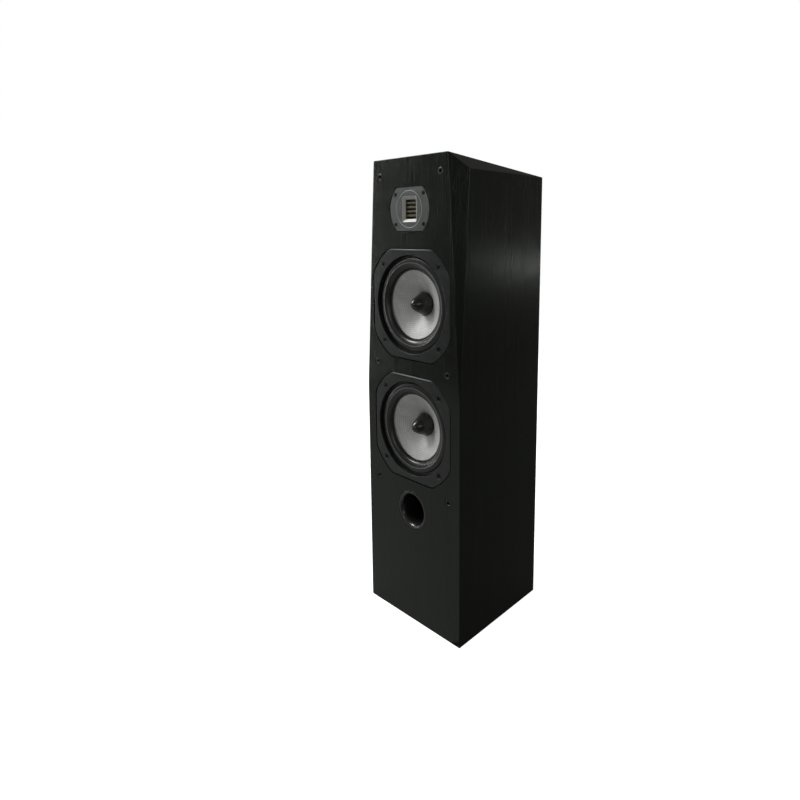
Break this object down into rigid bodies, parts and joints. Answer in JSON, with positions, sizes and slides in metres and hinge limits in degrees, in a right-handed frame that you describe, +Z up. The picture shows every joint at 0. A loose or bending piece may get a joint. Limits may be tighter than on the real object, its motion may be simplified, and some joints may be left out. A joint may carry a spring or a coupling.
{
  "type": "floorstanding loudspeaker",
  "caption": "Tall black wooden loudspeaker with faceted upper corners, a slotted tweeter, bullet-capped woofers and a flared front port.",
  "frame": {"origin": "middle of the base, on the surface that the cabinet stands on", "axes": "+Z up, the front baffle faces -Y, and +X is the right-hand side as seen by someone who looks at the front"},
  "size_m": [0.271, 0.255, 0.965],
  "materials": {
    "black_ash": "satin open-grain veneer",
    "bare_board": "matte",
    "grey_metal": "satin",
    "rubber": "satin",
    "cone": "woven fibre, satin silver-grey",
    "gloss_black": "gloss",
    "fabric": "matte",
    "ferrite": "matte",
    "steel": "satin",
    "plate_grey": "satin, grey",
    "silver": "bright satin",
    "brass": "satin",
    "copper": "lacquered copper wire",
    "film": "satin film",
    "black_screw": "satin black",
    "black_plastic": "satin",
    "red_plastic": "gloss",
    "board_green": "satin"
  },
  "bodies": {
    "cabinet": {"back_panel": "black_ash", "black_post_stud": "steel", "bottom_panel": "black_ash", "crossover_board": "board_green", "crossover_capacitor": "red_plastic", "crossover_inductor": "copper", "front_baffle": "black_ash", "grille_socket_bottom_left": "black_plastic", "grille_socket_bottom_right": "black_plastic", "grille_socket_middle_left": "black_plastic", "grille_socket_middle_right": "black_plastic", "grille_socket_top_left": "black_plastic", "grille_socket_top_right": "black_plastic", "lower_woofer_frame": "grey_metal", "lower_woofer_magnet": "ferrite", "lower_woofer_screw_1": "black_screw", "lower_woofer_screw_2": "black_screw", "lower_woofer_screw_3": "black_screw", "lower_woofer_screw_4": "black_screw", "lower_woofer_spider": "fabric", "lower_woofer_surround": "rubber", "lower_woofer_top_plate": "steel", "lower_woofer_yoke": "steel", "port_tube": "gloss_black", "red_post_stud": "steel", "side_panel_left": "black_ash", "side_panel_right": "black_ash", "terminal_cup": "black_plastic", "top_panel": "black_ash", "tweeter_aperture_frame": "silver", "tweeter_diaphragm": "film", "tweeter_face_plate": "plate_grey", "tweeter_motor": "ferrite", "tweeter_pole_plate": "brass", "tweeter_screw_1": "black_screw", "tweeter_screw_2": "black_screw", "tweeter_screw_3": "black_screw", "tweeter_screw_4": "black_screw", "upper_woofer_frame": "grey_metal", "upper_woofer_magnet": "ferrite", "upper_woofer_screw_1": "black_screw", "upper_woofer_screw_2": "black_screw", "upper_woofer_screw_3": "black_screw", "upper_woofer_screw_4": "black_screw", "upper_woofer_spider": "fabric", "upper_woofer_surround": "rubber", "upper_woofer_top_plate": "steel", "upper_woofer_yoke": "steel", "window_brace_1": "bare_board", "window_brace_2": "bare_board"},
    "upper_cone_assembly": {"upper_woofer_cone": "cone", "upper_woofer_dust_cap": "gloss_black", "upper_woofer_voice_coil": "copper"},
    "lower_cone_assembly": {"lower_woofer_cone": "cone", "lower_woofer_dust_cap": "gloss_black", "lower_woofer_voice_coil": "copper"},
    "black_washer": {"black_post_washer": "steel"},
    "black_knob": {"black_post_knob": "black_plastic"},
    "red_washer": {"red_post_washer": "steel"},
    "red_knob": {"red_post_knob": "red_plastic"}
  },
  "joints": [
    {"name": "upper_cone_stroke", "type": "slide", "parent": "cabinet", "child": "upper_cone_assembly", "axis": [0, -1, 0], "range_m": [-0.005, 0.005], "stiffness_N_per_m": 1500, "deforming": ["upper_woofer_surround", "upper_woofer_spider"]},
    {"name": "lower_cone_stroke", "type": "slide", "parent": "cabinet", "child": "lower_cone_assembly", "axis": [0, -1, 0], "range_m": [-0.005, 0.005], "stiffness_N_per_m": 1500, "deforming": ["lower_woofer_surround", "lower_woofer_spider"]},
    {"name": "black_washer_travel", "type": "slide", "parent": "cabinet", "child": "black_washer", "axis": [0, 1, 0], "range_m": [0, 0.00313]},
    {"name": "black_knob_turn", "type": "hinge", "parent": "black_washer", "child": "black_knob", "pos_m": [-0.019, 0.1005, 0.17], "axis": [0, 1, 0], "range_deg": [0, 900.5]},
    {"name": "red_washer_travel", "type": "slide", "parent": "cabinet", "child": "red_washer", "axis": [0, 1, 0], "range_m": [0, 0.00313]},
    {"name": "red_knob_turn", "type": "hinge", "parent": "red_washer", "child": "red_knob", "pos_m": [0.019, 0.1005, 0.17], "axis": [0, 1, 0], "range_deg": [0, 900.5]}
  ],
  "couplings": [
    {"joint": "black_knob_turn", "follows": "black_washer_travel", "rad_per_m": 5026.5},
    {"joint": "red_knob_turn", "follows": "red_washer_travel", "rad_per_m": 5026.5}
  ]
}
